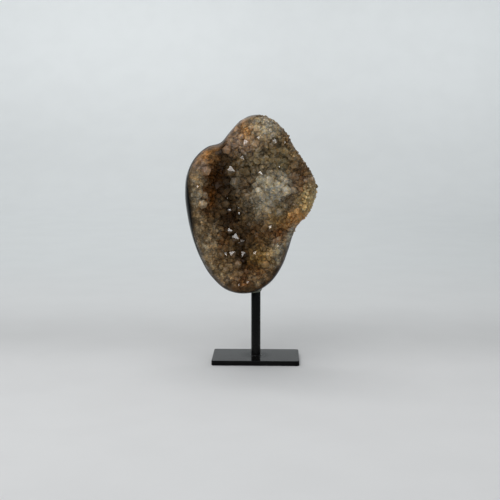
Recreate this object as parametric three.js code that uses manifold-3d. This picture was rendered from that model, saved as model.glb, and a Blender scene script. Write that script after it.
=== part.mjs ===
// An agate chunk on a stand: a piece of geode wall, drilled from below and glued on a round steel post
// that is welded to a flat steel foot. The front of the stone is a hollow lined with quartz crystals.
// Millimetres, +Z up, the front of the stone towards -Y, origin at the centre of the foot's underside.

import * as THREE from "three";
import { mergeVertices } from "three/addons/utils/BufferGeometryUtils.js";
import Module from "manifold-3d";

const wasm = await Module();
wasm.setup();
const { Manifold, Mesh } = wasm;

// ---------------------------------------------------------------- driving dimensions

const FOOT = { width: 80, depth: 48, thick: 4.5, corner: 2.5, bevel: 0.7 };
const POST = { radius: 4.3, sides: 24, chamfer: 0.6, weld: 0.9, weldHollow: 0.3 };
// Height of the drilled hole's mouth, how far up it goes, and the drill tip's height per unit of radius.
const HOLE = { mouth: 63, depth: 24, tip: 0.3 };
const GLUE = { reach: 0.9, top: 69, bottom: 62.2, lip: 0.4 };
const GAP = 0.3; // between two pieces that meet on a curved or drilled face

// The widest section of the stone, seen from the front, as (x, z) clockwise from the crown.
const STONE_CENTRE = { x: -5, z: 145 };
const OUTLINE = [
  [-4, 225.2], // crown
  [14.5, 221.5],
  [25, 212],
  [33.2, 198.5], // broken upper right edge
  [45.4, 180.5],
  [53.4, 166],
  [53.2, 151], // right lobe
  [48, 138.5],
  [38.2, 127.3],
  [33.4, 116], // waist
  [29.2, 102],
  [23, 86.8],
  [13.2, 73.3],
  [2.4, 66],
  [-12, 63], // tip
  [-27.6, 66.9],
  [-40.3, 78.2],
  [-50.4, 94.7],
  [-58, 115],
  [-62.6, 136],
  [-64.4, 155], // left bulge
  [-62.3, 173],
  [-55.2, 187.2],
  [-44.3, 196.8],
  [-31, 201.5], // notch
  [-23.7, 210.2],
  [-14.5, 219.8],
];

const STONE = {
  rim: 17, // how far the crest of the rim stands in front of the widest section
  back: 29, // how far the rounded back stands behind it
  dish: 8, // depth of the hollow below its rim
  dishPower: 2.4, // the higher, the flatter the floor of the hollow
  boxiness: 0.8, // under 1, the back is fuller than an ellipsoid
};

// Low waves, as heights and wavelengths: lumps on the natural back, and ripples in the crystal bed.
const LUMPS = { height: 1.7, fine: 0.6, long: [52, 61], short: [29.5, 37] };
const RIPPLES = { height: 0.7, long: [38, 46] };

// Rings of faces from the middle of the front out to the widest section, on the agate and on the crust.
const RINGS = { floor: 8, ledge: 9, lip: 10, outline: 15, crystals: 15, crust: 18 };

// The shoulder curls from the widest section forward and in to the crest of the rim. It is widest at the
// lower left and narrowest along the upper right edge, where the rim is broken.
const SHOULDER = { mean: 4.5, swing: 2.3, widest: THREE.MathUtils.degToRad(205) };
const BROKEN = {
  middle: THREE.MathUtils.degToRad(32),
  halfSpan: THREE.MathUtils.degToRad(75),
  full: 0.7, // share of the half span that is broken all the way through
};

// The quartz fills the hollow and covers the crest. It ends part of the way down the shoulder.
const CRUST = {
  thick: 3, // from the floor of the hollow to the roots of the crystals
  edge: THREE.MathUtils.degToRad(52), // where on the shoulder's quarter-turn it ends
  edgeThick: 1.5,
  edgeInset: 0.45, // how far inside the shoulder it ends
  seat: 1, // width of the agate's step between the crest and the hollow
  backPower: 6, // the higher, the squarer the back of the crust
};

// A groove runs from the notch down the left of the hollow, and low mounds fill the rest.
const GROOVE = {
  path: [
    [-30, 205],
    [-37, 182],
    [-37, 152],
    [-29, 122],
    [-18, 99],
    [-9, 82],
  ],
  depth: 6.5,
  halfWidth: 9,
  deepest: 158, // height of its deepest stretch, which fades over `fade` each way
  fade: 62,
};
const AT_RIM = 0.35; // share of the groove and the mounds that is left at the rim
const MOUNDS = [
  { x: 14, z: 158, spread: 24, rise: 4 }, // pale heart
  { x: -52, z: 180, spread: 13, rise: 2.5 }, // upper left lobe
  { x: -6, z: 207, spread: 17, rise: 3 }, // crown
  { x: 42, z: 143, spread: 14, rise: 2 }, // right lobe
  { x: 12, z: 104, spread: 20, rise: 2.5 }, // lower right flank
];

const DRUSE = { height: [1.8, 4.4], lean: 0.35, jitter: 0.22, groundWidth: 11 };

const LARGE_CRYSTALS = {
  count: 52,
  sides: 6,
  radius: [2.8, 4.8],
  tall: [0.7, 1.15], // height, per unit of radius
  prism: 0.75, // height of the six-sided shaft above its root, per unit of radius
  point: 1.15, // height of the six-faced point, per unit of radius
  taper: 0.86, // radius at the root, per unit of radius
  lean: 0.8,
  reach: 0.84, // share of the hollow that they spread over
  goldenAngle: Math.PI * (3 - Math.sqrt(5)),
};

// ---------------------------------------------------------------- small tools

const lerp = THREE.MathUtils.lerp;
const smoothstep = THREE.MathUtils.smoothstep;
const clamp = THREE.MathUtils.clamp;
const UP = new THREE.Vector3(0, 1, 0);
const TURN = 2 * Math.PI;
const QUARTER = Math.PI / 2;

// A repeatable number from 0 to 1 for one property of one numbered thing.
function chance(index, property) {
  const wave = Math.sin(index * 12.9898 + property * 78.233) * 43758.5453;
  return wave - Math.floor(wave);
}

// The same from -1 to 1.
function sway(index, property) {
  return 2 * chance(index, property) - 1;
}

// A geometry as a manifold solid, with its shared corners merged and its faces turned outwards.
function solidOf(geometry) {
  const bare = new THREE.BufferGeometry();
  bare.setAttribute("position", geometry.getAttribute("position"));
  if (geometry.index) bare.setIndex(geometry.index);
  const merged = mergeVertices(bare, 1e-4);
  const faces = [];
  for (let i = 0; i < merged.index.count; i += 3) {
    const [a, b, c] = merged.index.array.slice(i, i + 3);
    if (a !== b && b !== c && a !== c) faces.push(a, b, c);
  }
  const build = (triVerts) =>
    new Manifold(
      new Mesh({
        numProp: 3,
        vertProperties: merged.attributes.position.array,
        triVerts: new Uint32Array(triVerts),
      }),
    );
  const solid = build(faces);
  return solid.volume() > 0 ? solid : build(faces.reverse());
}

function geometryOf(solid) {
  const mesh = solid.getMesh();
  const points = new Float32Array(mesh.numVert * 3);
  for (let i = 0; i < mesh.numVert; i++) {
    points.set(mesh.vertProperties.subarray(i * mesh.numProp, i * mesh.numProp + 3), i * 3);
  }
  const geometry = new THREE.BufferGeometry();
  geometry.setAttribute("position", new THREE.BufferAttribute(points, 3));
  geometry.setIndex(new THREE.BufferAttribute(mesh.triVerts, 1));
  geometry.computeVertexNormals();
  return geometry;
}

function largestPieceOf(solid) {
  return solid.decompose().reduce((a, b) => (a.volume() > b.volume() ? a : b));
}

// A round solid about the Z axis from a closed (radius, height) profile.
function turned(profile, sides) {
  const points = profile.map(([radius, height]) => new THREE.Vector2(radius, height));
  return new THREE.LatheGeometry(points, sides).rotateX(Math.PI / 2);
}

// ---------------------------------------------------------------- rings of a six-sided net

const SIDES = 6;
const HEX_STEPS = [
  [1, 0],
  [0, 1],
  [-1, 1],
  [-1, 0],
  [0, -1],
  [1, -1],
];

function ringStart(ring) {
  return ring === 0 ? 0 : 1 + 3 * ring * (ring - 1);
}

// The points of a net of triangles, ring by ring. Every third one is a tip, whose six neighbours aren't.
function netPoints(rings) {
  const points = [{ ring: 0, angle: 0, tip: true }];
  for (let ring = 1; ring <= rings; ring++) {
    for (let k = 0; k < SIDES * ring; k++) {
      const side = Math.floor(k / ring);
      const [oq, or] = HEX_STEPS[side];
      const [sq, sr] = HEX_STEPS[(side + 2) % SIDES];
      const q = ring * oq + (k % ring) * sq;
      const r = ring * or + (k % ring) * sr;
      points.push({ ring, angle: (k / (SIDES * ring)) * TURN, tip: (q - r) % 3 === 0 });
    }
  }
  return points;
}

function netFaces(rings) {
  const faces = [];
  const at = (ring, k) => ringStart(ring) + (ring === 0 ? 0 : k % (SIDES * ring));
  for (let ring = 1; ring <= rings; ring++) {
    for (let side = 0; side < SIDES; side++) {
      for (let k = 0; k < ring; k++) {
        const outer = side * ring + k;
        const inner = side * (ring - 1) + k;
        faces.push([at(ring - 1, inner), at(ring, outer), at(ring, outer + 1)]);
        if (k < ring - 1) faces.push([at(ring - 1, inner), at(ring, outer + 1), at(ring - 1, inner + 1)]);
      }
    }
  }
  return faces;
}

// A closed mesh of two nets that share their outer ring. Each placer turns a net point into a Vector3.
function twoSided(rings, placeFront, placeBack) {
  const net = netPoints(rings);
  const shared = ringStart(rings);
  const front = net.map(placeFront);
  const back = net.slice(0, shared).map(placeBack);
  const backIndex = (i) => (i < shared ? front.length + i : i);
  const index = [];
  for (const [a, b, c] of netFaces(rings)) {
    index.push(a, b, c);
    index.push(backIndex(a), backIndex(c), backIndex(b));
  }
  const geometry = new THREE.BufferGeometry().setFromPoints([...front, ...back]);
  geometry.setIndex(index);
  return geometry;
}

// ---------------------------------------------------------------- the form of the stone

const OUTLINE_STEPS = 720;
const outlinePolar = new THREE.CatmullRomCurve3(
  OUTLINE.map(([x, z]) => new THREE.Vector3(x - STONE_CENTRE.x, 0, z - STONE_CENTRE.z)),
  true,
  "centripetal",
)
  .getPoints(OUTLINE_STEPS)
  .slice(1)
  .map((p) => ({ angle: (Math.atan2(p.z, p.x) + TURN) % TURN, radius: Math.hypot(p.x, p.z) }))
  .sort((p, q) => p.angle - q.angle);

// Distance from the stone's centre to its outline, in a direction in the XZ plane.
function outlineRadius(angle) {
  const wanted = (angle + TURN) % TURN;
  const found = outlinePolar.findIndex((p) => p.angle > wanted);
  const b = outlinePolar.at(found < 0 ? 0 : found);
  const a = outlinePolar.at(found - 1);
  const span = (b.angle - a.angle + TURN) % TURN;
  return lerp(a.radius, b.radius, ((wanted - a.angle + TURN) % TURN) / span);
}

// 1 along the broken edge, 0 along the polished rim.
function brokenness(angle) {
  const away = Math.abs(Math.atan2(Math.sin(angle - BROKEN.middle), Math.cos(angle - BROKEN.middle)));
  return 1 - smoothstep(away, BROKEN.halfSpan * BROKEN.full, BROKEN.halfSpan);
}

// Distance from the outline in to the crest of the rim.
function shoulderWidth(angle) {
  return SHOULDER.mean + SHOULDER.swing * Math.cos(angle - SHOULDER.widest);
}

function crestRadius(angle) {
  return outlineRadius(angle) - shoulderWidth(angle);
}

// A point in a direction and at a distance from the stone's centre in the XZ plane.
function stonePoint(angle, radius, y = 0) {
  return new THREE.Vector3(
    STONE_CENTRE.x + radius * Math.cos(angle),
    y,
    STONE_CENTRE.z + radius * Math.sin(angle),
  );
}

function distanceToPath(x, z, path) {
  let nearest = Infinity;
  for (let i = 1; i < path.length; i++) {
    const [ax, az] = path[i - 1];
    const [bx, bz] = path[i];
    const length2 = (bx - ax) ** 2 + (bz - az) ** 2;
    const along = clamp(((x - ax) * (bx - ax) + (z - az) * (bz - az)) / length2, 0, 1);
    nearest = Math.min(nearest, Math.hypot(x - lerp(ax, bx, along), z - lerp(az, bz, along)));
  }
  return nearest;
}

// The product of two waves, along X and along Z.
function chequer(x, z, [lengthX, lengthZ]) {
  return Math.sin((TURN * x) / lengthX + 1) * Math.sin((TURN * z) / lengthZ);
}

// How far the face of the crystal bed stands in front of the widest section. It meets the crest of the rim.
function bedForward(x, z) {
  const angle = Math.atan2(z - STONE_CENTRE.z, x - STONE_CENTRE.x);
  const share = Math.min(Math.hypot(x - STONE_CENTRE.x, z - STONE_CENTRE.z) / crestRadius(angle), 1);
  const strength = lerp(1, AT_RIM, share ** 4);
  let forward = STONE.rim - STONE.dish * (1 - share ** STONE.dishPower);
  for (const mound of MOUNDS) {
    const away = ((x - mound.x) ** 2 + (z - mound.z) ** 2) / mound.spread ** 2;
    forward += mound.rise * Math.exp(-away) * strength;
  }
  const across = distanceToPath(x, z, GROOVE.path) / GROOVE.halfWidth;
  const along = (z - GROOVE.deepest) / GROOVE.fade;
  forward -= GROOVE.depth * Math.exp(-(across ** 2) - along ** 2) * strength;
  return forward + RIPPLES.height * chequer(x, z, RIPPLES.long);
}

// Low lumps of the natural outside, which fade out towards the outline.
function rindLump(x, z, share) {
  const lumps = chequer(x, z, LUMPS.long) + LUMPS.fine * chequer(z, x, LUMPS.short);
  return LUMPS.height * lumps * (1 - share ** 3);
}

function backOfBody({ ring, angle }) {
  const bend = (1 - ring / RINGS.outline) * QUARTER;
  const share = Math.cos(bend) ** STONE.boxiness;
  const p = stonePoint(angle, outlineRadius(angle) * share);
  p.y = STONE.back * Math.sin(bend) ** STONE.boxiness + rindLump(p.x, p.z, share);
  return p;
}

// A point on the shoulder, from the widest section at bend 0 to the crest of the rim at a quarter-turn.
function shoulderPoint(angle, bend) {
  const crest = stonePoint(angle, crestRadius(angle));
  const p = stonePoint(angle, lerp(crestRadius(angle), outlineRadius(angle), Math.cos(bend)));
  p.y = -bedForward(crest.x, crest.z) * Math.sin(bend);
  return p;
}

// The front, from the middle out: floor of the hollow, ledge and lip of the crust's seat, shoulder.
function frontOfBody({ ring, angle }) {
  if (ring <= RINGS.floor) {
    const p = stonePoint(angle, (crestRadius(angle) - CRUST.seat) * (ring / RINGS.floor));
    p.y = CRUST.thick - bedForward(p.x, p.z);
    return p;
  }
  if (ring === RINGS.ledge) {
    const p = shoulderPoint(angle, CRUST.edge);
    return p.setY(p.y + CRUST.edgeThick);
  }
  return shoulderPoint(angle, CRUST.edge * (1 - (ring - RINGS.lip) / (RINGS.outline - RINGS.lip)));
}

// ---------------------------------------------------------------- the crystals

// The direction that the crystal bed faces.
function bedNormal(x, z) {
  const step = 0.5;
  const slopeX = (bedForward(x + step, z) - bedForward(x - step, z)) / (2 * step);
  const slopeZ = (bedForward(x, z + step) - bedForward(x, z - step)) / (2 * step);
  return new THREE.Vector3(-slopeX, -1, -slopeZ).normalize();
}

// Share of their full height that the crystals have: towards the polished rim they are ground smooth.
function crystalGrowth(angle, fromCrest) {
  return Math.max(smoothstep(fromCrest, 0, DRUSE.groundWidth), brokenness(angle));
}

// A point of the crust without its crystals: across the hollow, over the crest, down the shoulder.
function crustPoint(ring, angle) {
  if (ring > RINGS.crystals) {
    const down = (ring - RINGS.crystals) / (RINGS.crust - RINGS.crystals);
    const p = shoulderPoint(angle, lerp(QUARTER, CRUST.edge, down));
    p.x -= CRUST.edgeInset * down * Math.cos(angle);
    p.z -= CRUST.edgeInset * down * Math.sin(angle);
    return p;
  }
  const p = stonePoint(angle, crestRadius(angle) * (ring / RINGS.crystals));
  return p.setY(-bedForward(p.x, p.z));
}

// The face of the crust: a net of low six-faced points, each leaning its own way.
function frontOfCrust({ ring, angle, tip }, index) {
  const p = crustPoint(ring, angle);
  const spacing = crestRadius(angle) / RINGS.crystals;
  const growth = crystalGrowth(angle, spacing * (RINGS.crystals - ring));
  const loose = ring < RINGS.crystals ? DRUSE.jitter * spacing : 0;
  p.x += loose * sway(index, 1);
  p.z += loose * sway(index, 2);
  if (loose) p.y = -bedForward(p.x, p.z);
  if (!tip || ring === RINGS.crust) return p;
  const axis = bedNormal(p.x, p.z);
  const outward = smoothstep(ring, RINGS.crystals - 1, RINGS.crust);
  axis.x += DRUSE.lean * sway(index, 4) + outward * Math.cos(angle);
  axis.z += DRUSE.lean * sway(index, 5) + outward * Math.sin(angle);
  return p.addScaledVector(axis.normalize(), growth * lerp(...DRUSE.height, chance(index, 3)));
}

// The back of the crust before the agate is cut from it, deep inside the agate.
function backOfCrust({ ring, angle }) {
  const edge = shoulderPoint(angle, CRUST.edge);
  const reach = Math.hypot(edge.x - STONE_CENTRE.x, edge.z - STONE_CENTRE.z) - 2 * GAP;
  const share = ring / (RINGS.crust - 1);
  const p = stonePoint(angle, reach * share);
  const deep = 2 * CRUST.thick - bedForward(p.x, p.z);
  return p.setY(lerp(deep, edge.y + 2 * CRUST.edgeThick, share ** CRUST.backPower));
}

// A six-sided shaft with a six-faced point, one unit in radius, standing along +Y on its root.
function unitCrystal() {
  const { prism, point, taper, sides } = LARGE_CRYSTALS;
  const profile = [
    [0, -1],
    [taper, -1],
    [1, prism],
    [0, prism + point],
  ];
  return solidOf(new THREE.LatheGeometry(profile.map(([r, h]) => new THREE.Vector2(r, h)), sides));
}

// Larger crystals on a golden-angle spiral over the bed, each leaning and turned its own way.
function largeCrystals() {
  const { count, radius, tall, lean, reach, goldenAngle } = LARGE_CRYSTALS;
  const unit = unitCrystal();
  const placed = [];
  for (let i = 0; i < count; i++) {
    const angle = i * goldenAngle;
    const centre = stonePoint(angle, crestRadius(angle) * Math.sqrt((i + 0.5) / count) * reach);
    centre.y = -bedForward(centre.x, centre.z);
    const axis = bedNormal(centre.x, centre.z);
    axis.x += lean * sway(i, 3);
    axis.z += lean * sway(i, 4);
    const pose = new THREE.Quaternion().setFromUnitVectors(UP, axis.normalize());
    pose.multiply(new THREE.Quaternion().setFromAxisAngle(UP, chance(i, 5) * Math.PI));
    const wide = lerp(...radius, chance(i, 6) ** 2);
    const size = new THREE.Vector3(wide, wide * lerp(...tall, chance(i, 7)), wide);
    const matrix = new THREE.Matrix4().compose(centre, pose, size);
    placed.push(unit.transform(matrix.elements));
  }
  return Manifold.union(placed);
}

// ---------------------------------------------------------------- solids

const bodyGeometry = twoSided(RINGS.outline, frontOfBody, backOfBody);

// The body pushed out along its normals, to cut a neighbour with room to spare.
function bodyWithRoom(room) {
  const fat = bodyGeometry.clone();
  fat.computeVertexNormals();
  const position = fat.getAttribute("position");
  const point = new THREE.Vector3();
  const normal = new THREE.Vector3();
  for (let i = 0; i < position.count; i++) {
    point.fromBufferAttribute(position, i);
    normal.fromBufferAttribute(fat.getAttribute("normal"), i);
    point.addScaledVector(normal, room);
    position.setXYZ(i, point.x, point.y, point.z);
  }
  return solidOf(fat);
}

const boreRadius = POST.radius + GAP;
const boreEnd = HOLE.mouth + HOLE.depth;

function agateBody() {
  const drill = turned(
    [
      [0, 0],
      [boreRadius, 0],
      [boreRadius, boreEnd],
      [0, boreEnd + boreRadius * HOLE.tip],
    ],
    POST.sides,
  );
  return geometryOf(largestPieceOf(solidOf(bodyGeometry).subtract(solidOf(drill))));
}

function crystalCrust() {
  const bed = solidOf(twoSided(RINGS.crust, frontOfCrust, backOfCrust));
  return geometryOf(largestPieceOf(bed.add(largeCrystals()).subtract(bodyWithRoom(GAP))));
}

// A round bar with a small weld fillet at its foot and a chamfered top inside the hole.
function post() {
  const { radius, weld, weldHollow, chamfer, sides } = POST;
  const top = boreEnd - GAP;
  const profile = [
    [0, FOOT.thick],
    [radius + weld, FOOT.thick],
    [radius + weld * weldHollow, FOOT.thick + weld * weldHollow],
    [radius, FOOT.thick + weld],
    [radius, top - chamfer],
    [radius - chamfer, top],
    [0, top],
  ];
  return turned(profile, sides);
}

// A ring of cured glue round the post, pressed up against the underside of the stone.
function glueBead() {
  const outer = boreRadius + GLUE.reach;
  const ring = turned(
    [
      [boreRadius, GLUE.bottom],
      [boreRadius + GLUE.lip, GLUE.bottom],
      [outer, GLUE.bottom + GLUE.reach],
      [outer, GLUE.top],
      [boreRadius, GLUE.top],
      [boreRadius, GLUE.bottom],
    ],
    POST.sides,
  );
  return geometryOf(largestPieceOf(solidOf(ring).subtract(bodyWithRoom(GAP))));
}

function footPlate() {
  const { width, depth, thick, corner, bevel } = FOOT;
  const halfX = width / 2 - bevel;
  const halfY = depth / 2 - bevel;
  const arc = corner - bevel;
  const shape = new THREE.Shape();
  shape.moveTo(arc - halfX, -halfY);
  shape.absarc(halfX - arc, arc - halfY, arc, -QUARTER, 0);
  shape.absarc(halfX - arc, halfY - arc, arc, 0, QUARTER);
  shape.absarc(arc - halfX, halfY - arc, arc, QUARTER, 2 * QUARTER);
  shape.absarc(arc - halfX, arc - halfY, arc, 2 * QUARTER, 3 * QUARTER);
  const plate = new THREE.ExtrudeGeometry(shape, {
    depth: thick - 2 * bevel,
    bevelEnabled: true,
    bevelSize: bevel,
    bevelThickness: bevel,
    bevelSegments: 2,
    curveSegments: 5,
  });
  return geometryOf(solidOf(plate.translate(0, 0, bevel)));
}

// ---------------------------------------------------------------- the object

function piece(name, geometry, color, roughness, metalness) {
  const mesh = new THREE.Mesh(geometry, new THREE.MeshStandardMaterial({ color, roughness, metalness }));
  mesh.name = name;
  return mesh;
}

const object = new THREE.Group();
object.add(
  piece("foot_plate", footPlate(), 0x141415, 0.3, 0),
  piece("post", post(), 0x17181a, 0.4, 0),
  piece("agate_body", agateBody(), 0x4a443d, 0.25, 0),
  piece("crystal_crust", crystalCrust(), 0x7a5c3c, 0.15, 0),
  piece("glue_bead", glueBead(), 0x6a6f63, 0.4, 0),
);

export default object;
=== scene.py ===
"""An agate chunk on a stand: the finished surfaces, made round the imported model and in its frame.

Points are worked out in millimetres, as in the part's source; mesh_object turns them into metres.
"""

import math

import bpy
import numpy as np
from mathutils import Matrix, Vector, noise


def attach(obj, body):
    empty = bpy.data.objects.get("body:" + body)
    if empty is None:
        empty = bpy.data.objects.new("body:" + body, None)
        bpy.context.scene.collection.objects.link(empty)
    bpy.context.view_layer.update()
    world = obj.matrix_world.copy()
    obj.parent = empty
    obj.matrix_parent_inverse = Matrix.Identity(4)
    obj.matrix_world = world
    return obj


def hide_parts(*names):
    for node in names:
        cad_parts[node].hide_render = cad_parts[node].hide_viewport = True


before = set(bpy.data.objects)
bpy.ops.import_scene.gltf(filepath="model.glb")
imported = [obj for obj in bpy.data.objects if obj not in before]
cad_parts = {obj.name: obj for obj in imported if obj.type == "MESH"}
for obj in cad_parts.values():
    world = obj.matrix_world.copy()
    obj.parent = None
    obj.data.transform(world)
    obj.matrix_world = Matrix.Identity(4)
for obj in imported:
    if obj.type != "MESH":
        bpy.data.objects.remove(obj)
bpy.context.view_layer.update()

MM = 0.001
TURN = 2 * math.pi
QUARTER = math.pi / 2

# ---------------------------------------------------------------- dimensions, as in the part's source

FOOT_WIDTH, FOOT_DEPTH, FOOT_THICK, FOOT_CORNER, FOOT_BEVEL = 80.0, 48.0, 4.5, 2.5, 0.7
POST_RADIUS, POST_WELD, POST_CHAMFER, POST_TOP = 4.3, 0.9, 0.6, 86.7

STONE_X, STONE_Z = -5.0, 145.0
OUTLINE = [
    (-4, 225.2), (14.5, 221.5), (25, 212), (33.2, 198.5), (45.4, 180.5), (53.4, 166), (53.2, 151),
    (48, 138.5), (38.2, 127.3), (33.4, 116), (29.2, 102), (23, 86.8), (13.2, 73.3), (2.4, 66), (-12, 63),
    (-27.6, 66.9), (-40.3, 78.2), (-50.4, 94.7), (-58, 115), (-62.6, 136), (-64.4, 155), (-62.3, 173),
    (-55.2, 187.2), (-44.3, 196.8), (-31, 201.5), (-23.7, 210.2), (-14.5, 219.8),
]
RIM, BACK, DISH, DISH_POWER, BOXINESS = 17.0, 29.0, 8.0, 2.4, 0.8
LUMP_HEIGHT, LUMP_FINE, LUMP_LONG, LUMP_SHORT = 1.7, 0.6, (52.0, 61.0), (29.5, 37.0)
RIPPLE_HEIGHT, RIPPLE_LONG = 0.7, (38.0, 46.0)
SHOULDER_MEAN, SHOULDER_SWING, SHOULDER_WIDEST = 4.5, 2.3, math.radians(205)
RAGGED_FULL = 0.7
CRUST_THICK = 3.0
GROOVE = [(-30, 205), (-37, 182), (-37, 152), (-29, 122), (-18, 99), (-9, 82)]
GROOVE_DEPTH, GROOVE_HALF_WIDTH, GROOVE_DEEPEST, GROOVE_FADE = 6.5, 9.0, 158.0, 62.0
MOUNDS = [(14, 158, 24, 4), (-52, 180, 13, 2.5), (-6, 207, 17, 3), (42, 143, 14, 2), (12, 104, 20, 2.5)]
AT_RIM = 0.35
GROUND_WIDTH = 11.0

# ---------------------------------------------------------------- dimensions of the finished surfaces alone

# Direction of the middle of the broken edge, and how far the edge is broken each way.
RAGGED_MIDDLE, RAGGED_HALF_SPAN = math.radians(25), math.radians(69)
# The crust's edge on the shoulder: its mean, a rise on the left and a fall over the top.
EDGE_MEAN, EDGE_RISE, EDGE_FALL = math.radians(48), math.radians(41), math.radians(30)
EDGE_HIGHEST, EDGE_RISE_SPAN, EDGE_LOWEST = math.radians(177), math.radians(25), math.radians(80)
CRUST_TUCK = 0.6  # the crust's edge ends this far under the shoulder's surface
# Height of the glue's lower edge and of the glue, how far it reaches from the post, its slant.
GLUE_BOTTOM, GLUE_HEIGHT, GLUE_REACH, GLUE_SLANT = 63.9, 3.4, 1.2, 0.6

# ---------------------------------------------------------------- the form of the stone


def lerp(a, b, t):
    return a + (b - a) * t


def smoothstep(x, low, high):
    t = np.clip((x - low) / (high - low), 0, 1)
    return t * t * (3 - 2 * t)


def stone_xz(angle, radius):
    return STONE_X + radius * np.cos(angle), STONE_Z + radius * np.sin(angle)


def stone_polar(x, z):
    return np.arctan2(z - STONE_Z, x - STONE_X), np.hypot(x - STONE_X, z - STONE_Z)


def outline_radius(angle):
    """Distance from the stone's centre to its outline, by a smooth curve through the outline's points."""
    angles, radii = stone_polar(*np.array(OUTLINE, float).T)
    order = np.argsort(angles % TURN)
    a = (angles % TURN)[order]
    r = radii[order]
    a = np.concatenate([a[-2:] - TURN, a, a[:3] + TURN])
    r = np.concatenate([r[-2:], r, r[:3]])
    slope = np.gradient(r, a)
    wanted = np.asarray(angle) % TURN
    i = np.searchsorted(a, wanted, side="right") - 1
    span = a[i + 1] - a[i]
    t = (wanted - a[i]) / span
    return (
        (2 * t**3 - 3 * t**2 + 1) * r[i]
        + (t**3 - 2 * t**2 + t) * span * slope[i]
        + (3 * t**2 - 2 * t**3) * r[i + 1]
        + (t**3 - t**2) * span * slope[i + 1]
    )


def brokenness(angle):
    """1 along the broken edge, where crystals run over it, and 0 along the polished rim."""
    turn = np.asarray(angle) - RAGGED_MIDDLE
    away = np.abs(np.arctan2(np.sin(turn), np.cos(turn)))
    return 1 - smoothstep(away, RAGGED_HALF_SPAN * RAGGED_FULL, RAGGED_HALF_SPAN)


def crust_edge(angle):
    """How far up the shoulder the crust's edge lies: the agate shows below it, most on the left."""
    rise = np.exp(-((np.asarray(angle) % TURN - EDGE_HIGHEST) / EDGE_RISE_SPAN) ** 2)
    fall = 0.5 + 0.5 * np.cos(np.asarray(angle) - EDGE_LOWEST)
    return EDGE_MEAN + EDGE_RISE * rise - EDGE_FALL * fall


def crest_radius(angle):
    return outline_radius(angle) - SHOULDER_MEAN - SHOULDER_SWING * np.cos(angle - SHOULDER_WIDEST)


def distance_to_groove(x, z):
    nearest = np.full(np.shape(x), 1e9)
    for (ax, az), (bx, bz) in zip(GROOVE, GROOVE[1:]):
        along = ((x - ax) * (bx - ax) + (z - az) * (bz - az)) / ((bx - ax) ** 2 + (bz - az) ** 2)
        along = np.clip(along, 0, 1)
        nearest = np.minimum(nearest, np.hypot(x - lerp(ax, bx, along), z - lerp(az, bz, along)))
    return nearest


def chequer(x, z, lengths):
    return np.sin(TURN * x / lengths[0] + 1) * np.sin(TURN * z / lengths[1])


def bed_forward(x, z):
    """How far the face of the crystal bed stands in front of the widest section."""
    angle, reach = stone_polar(x, z)
    share = np.minimum(reach / crest_radius(angle), 1)
    strength = lerp(1, AT_RIM, share**4)
    forward = RIM - DISH * (1 - share**DISH_POWER)
    for mx, mz, spread, rise in MOUNDS:
        away = ((x - mx) ** 2 + (z - mz) ** 2) / spread**2
        forward = forward + rise * np.exp(-away) * strength
    across = distance_to_groove(x, z) / GROOVE_HALF_WIDTH
    along = (z - GROOVE_DEEPEST) / GROOVE_FADE
    forward = forward - GROOVE_DEPTH * np.exp(-(across**2) - along**2) * strength
    return forward + RIPPLE_HEIGHT * chequer(x, z, RIPPLE_LONG)


def shoulder(angle, bend, sunk=0.0):
    """Points from the widest section at bend 0 to the crest of the rim at a quarter-turn."""
    crest = crest_radius(angle)
    x, z = stone_xz(angle, lerp(crest, outline_radius(angle), np.cos(bend)) - sunk)
    return np.stack([x, sunk - bed_forward(*stone_xz(angle, crest)) * np.sin(bend), z], axis=-1)


def inset_from_crest(points):
    """How far inside the crest of the rim points lie, and how broken the rim is there."""
    angle, reach = stone_polar(points[:, 0], points[:, 2])
    return crest_radius(angle) - reach, brokenness(angle)


# ---------------------------------------------------------------- meshes


def net(rings):
    """Share of the way out and direction of each point of a six-sided net, and its triangles."""
    ring, angle, faces = [0], [0.0], []
    for k in range(1, rings + 1):
        ring += [k] * (6 * k)
        angle += [TURN * i / (6 * k) for i in range(6 * k)]

    def at(k, i):
        return 0 if k == 0 else 1 + 3 * k * (k - 1) + i % (6 * k)

    for k in range(1, rings + 1):
        for side in range(6):
            for i in range(k):
                outer, inner = side * k + i, side * (k - 1) + i
                faces.append((at(k - 1, inner), at(k, outer), at(k, outer + 1)))
                if i < k - 1:
                    faces.append((at(k - 1, inner), at(k, outer + 1), at(k - 1, inner + 1)))
    return np.array(ring) / rings, np.array(angle), np.array(faces)


def shell(rings, fine_side, shares, plain_side):
    """A closed shell: a fine net inside its outer ring, closed behind by rows of points and a pole.

    Each side turns shares of the way out, 0 to 1, and directions into points.
    """
    share, angle, faces = net(rings)
    around = 6 * rings
    points = [fine_side(share, angle)]
    count = len(share)
    row = np.arange(count - around, count)
    behind = []
    for row_share in shares:
        points.append(plain_side(np.full(around, row_share), angle[-around:]))
        next_row = np.arange(count, count + around)
        behind.append(np.stack([row, np.roll(next_row, -1), np.roll(row, -1)], axis=1))
        behind.append(np.stack([row, next_row, np.roll(next_row, -1)], axis=1))
        row = next_row
        count += around
    points.append(plain_side(np.zeros(1), np.zeros(1)))
    behind.append(np.stack([row, np.full(around, count), np.roll(row, -1)], axis=1))
    points, faces = np.concatenate(points), np.concatenate([faces, *behind])
    volume = np.einsum("ij,ij->", points[faces[:, 0]], np.cross(points[faces[:, 1]], points[faces[:, 2]]))
    return points, faces if volume > 0 else faces[:, ::-1]


def point_normals(points, faces):
    a, b, c = (points[faces[:, i]] for i in range(3))
    flat = np.cross(b - a, c - a)
    normals = np.zeros_like(points)
    for corner in faces.T:
        np.add.at(normals, corner, flat)
    return normals / np.linalg.norm(normals, axis=1, keepdims=True)


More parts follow.
